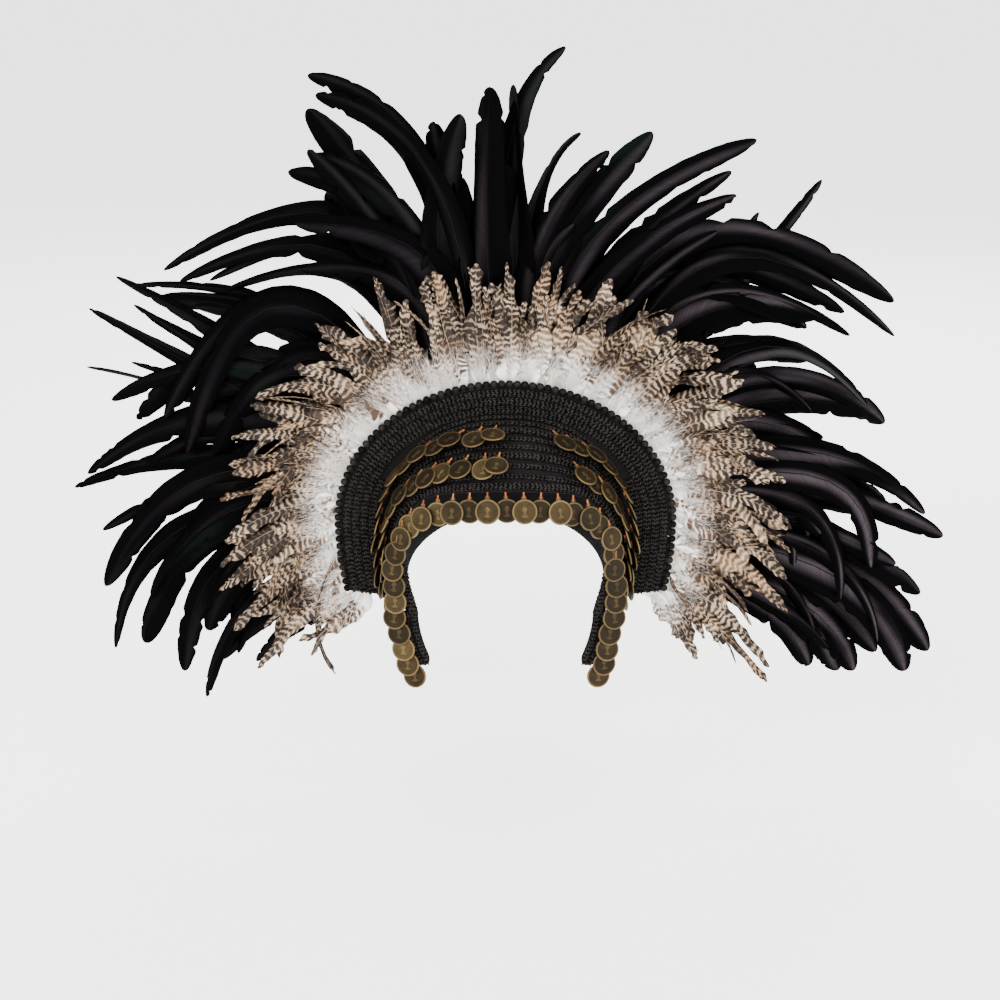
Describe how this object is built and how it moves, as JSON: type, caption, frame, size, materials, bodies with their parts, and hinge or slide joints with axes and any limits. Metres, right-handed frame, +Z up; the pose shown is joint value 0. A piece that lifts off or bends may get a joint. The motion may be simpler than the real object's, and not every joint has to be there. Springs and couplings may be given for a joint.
{
  "type": "feathered dance headdress",
  "caption": "Cloth cap with a stiff braided halo, rows of hanging brass coins over the brow and a fan of barred and black feathers.",
  "frame": {"origin": "the point inside the cap where the crown of the head meets it", "axes": "+Z up, the face looks along -Y, +X towards the wearer's left"},
  "size_m": [0.6642, 0.1829, 0.4889],
  "materials": {
    "cloth": "matte black cloth",
    "braid": "black knitted gimp with a dull sheen",
    "coin": "antique brass, dark in the hollows",
    "hackle": "cream feathers with dark brown bars",
    "coque": "glossy black feathers"
  },
  "bodies": {
    "root": {"cap": "cloth", "halo": "cloth", "coin_band": "cloth", "lappet_left": "cloth", "lappet_right": "cloth", "halo_braid_1": "braid", "halo_braid_2": "braid", "halo_braid_3": "braid", "halo_braid_side_left": "braid", "halo_braid_side_right": "braid", "scallop_edge": "braid", "brow_braid": "braid", "middle_braid": "braid", "crown_braid": "braid", "brow_coins": "coin", "middle_coins_left": "coin", "middle_coins_right": "coin", "crown_coins_left": "coin", "crown_coins_right": "coin", "hackles_left": "hackle", "hackles_crown": "hackle", "hackles_right": "hackle", "coque_left_low": "coque", "coque_left_high": "coque", "coque_crown": "coque", "coque_right_high": "coque", "coque_right_low": "coque"}
  },
  "joints": []
}
